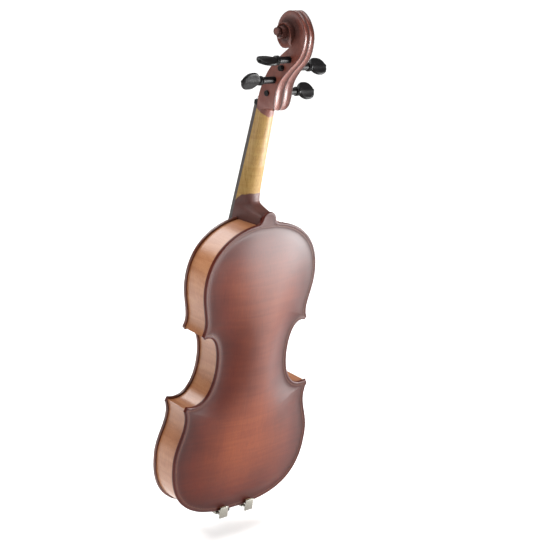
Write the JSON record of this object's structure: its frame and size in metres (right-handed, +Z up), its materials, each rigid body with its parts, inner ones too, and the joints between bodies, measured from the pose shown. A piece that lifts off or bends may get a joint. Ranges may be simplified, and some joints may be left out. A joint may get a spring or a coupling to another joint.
{
  "type": "violin",
  "caption": "Full-size violin with arched plates and flamed maple back, carved scroll, turning pegs, strings, tailpiece with fine tuner and a clamped chin rest.",
  "frame": {"origin": "centre line of the body at the bottom edge of the plates, midway between the top and the back at the ribs", "axes": "+Z up along the body to the scroll, +Y towards the back plate, +X towards the treble side"},
  "size_m": [0.207, 0.1113, 0.6091],
  "materials": {
    "back_varnish": "red-brown oil varnish on flamed maple",
    "top_varnish": "red-brown oil varnish on spruce",
    "rib_varnish": "golden-brown oil varnish on maple",
    "neck_maple": "oiled bare maple, varnished at both ends",
    "bare_spruce": "unvarnished spruce",
    "ebony": "polished ebony",
    "boxed_ebony": "polished ebony",
    "bridge_maple": "bare maple",
    "nickel": "bright nickel plate",
    "cork": "bare cork",
    "string_wire": "fine wound metal strings",
    "nylon_gut": "black nylon cord"
  },
  "bodies": {
    "instrument": {"neck": "neck_maple", "top_plate": "top_varnish", "back_plate": "back_varnish", "purfling_top_treble": "ebony", "purfling_top_bass": "ebony", "purfling_back": "ebony", "rib_lower_treble": "rib_varnish", "rib_centre_treble": "rib_varnish", "rib_upper_treble": "rib_varnish", "rib_lower_bass": "rib_varnish", "rib_centre_bass": "rib_varnish", "rib_upper_bass": "rib_varnish", "lining_top_lower_treble": "bare_spruce", "lining_back_lower_treble": "bare_spruce", "lining_top_centre_treble": "bare_spruce", "lining_back_centre_treble": "bare_spruce", "lining_top_upper_treble": "bare_spruce", "lining_back_upper_treble": "bare_spruce", "lining_top_lower_bass": "bare_spruce", "lining_back_lower_bass": "bare_spruce", "lining_top_centre_bass": "bare_spruce", "lining_back_centre_bass": "bare_spruce", "lining_top_upper_bass": "bare_spruce", "lining_back_upper_bass": "bare_spruce", "corner_block_lower_treble": "bare_spruce", "corner_block_upper_treble": "bare_spruce", "corner_block_lower_bass": "bare_spruce", "corner_block_upper_bass": "bare_spruce", "end_block": "bare_spruce", "neck_block": "bare_spruce", "bass_bar": "bare_spruce", "sound_post": "bare_spruce", "fingerboard": "ebony", "nut": "ebony", "end_button": "ebony", "saddle": "ebony", "tailpiece": "ebony", "bridge": "bridge_maple", "tailgut": "nylon_gut", "fine_tuner_frame": "nickel", "string_g": "string_wire", "string_d": "string_wire", "string_a": "string_wire", "string_e": "string_wire", "chin_rest": "boxed_ebony", "chin_rest_cork_treble": "cork", "clamp_leg_treble": "nickel", "chin_rest_cork_bass": "cork", "clamp_leg_bass": "nickel"},
    "peg_g": {"peg_g": "ebony"},
    "peg_d": {"peg_d": "ebony"},
    "peg_a": {"peg_a": "ebony"},
    "peg_e": {"peg_e": "ebony"},
    "tuner_screw": {"fine_tuner_screw": "nickel"},
    "tuner_lever": {"fine_tuner_lever": "nickel"},
    "barrel_treble": {"clamp_barrel_treble": "nickel"},
    "barrel_bass": {"clamp_barrel_bass": "nickel"},
    "foot_treble": {"clamp_foot_treble": "nickel"},
    "foot_bass": {"clamp_foot_bass": "nickel"}
  },
  "joints": [
    {"name": "peg_g_turn", "type": "hinge", "parent": "instrument", "child": "peg_g", "pos_m": [0, 0.004, 0.50204], "axis": [-1, 0, 0], "continuous": true},
    {"name": "peg_d_turn", "type": "hinge", "parent": "instrument", "child": "peg_d", "pos_m": [0, 0.02043, 0.53341], "axis": [-1, 0, 0], "continuous": true},
    {"name": "peg_a_turn", "type": "hinge", "parent": "instrument", "child": "peg_a", "pos_m": [0, 0.02917, 0.54425], "axis": [1, 0, 0], "continuous": true},
    {"name": "peg_e_turn", "type": "hinge", "parent": "instrument", "child": "peg_e", "pos_m": [0, 0.01138, 0.51838], "axis": [1, 0, 0], "continuous": true},
    {"name": "tuner_screw_turn", "type": "hinge", "parent": "instrument", "child": "tuner_screw", "pos_m": [0.013, -0.05497, 0.09351], "axis": [0, -0.994, -0.1097], "range_deg": [0, 1440]},
    {"name": "tuner_lever_tilt", "type": "hinge", "parent": "instrument", "child": "tuner_lever", "pos_m": [0.013, -0.04865, 0.10004], "axis": [1, 0, 0], "range_deg": [0, 8]},
    {"name": "foot_treble_slide", "type": "slide", "parent": "instrument", "child": "foot_treble", "axis": [0, 1, 0], "range_m": [0, 0.006]},
    {"name": "barrel_treble_turn", "type": "hinge", "parent": "instrument", "child": "barrel_treble", "pos_m": [0.02, 0, -0.0055], "axis": [0, 1, 0], "range_deg": [0, 1801]},
    {"name": "foot_bass_slide", "type": "slide", "parent": "instrument", "child": "foot_bass", "axis": [0, 1, 0], "range_m": [0, 0.006]},
    {"name": "barrel_bass_turn", "type": "hinge", "parent": "instrument", "child": "barrel_bass", "pos_m": [-0.02, 0, -0.0055], "axis": [0, 1, 0], "range_deg": [0, 1801]}
  ],
  "couplings": [
    {"joint": "tuner_lever_tilt", "follows": "tuner_screw_turn", "ratio": 0.0055556},
    {"joint": "barrel_treble_turn", "follows": "foot_treble_slide", "rad_per_m": 5236},
    {"joint": "barrel_bass_turn", "follows": "foot_bass_slide", "rad_per_m": 5236}
  ]
}
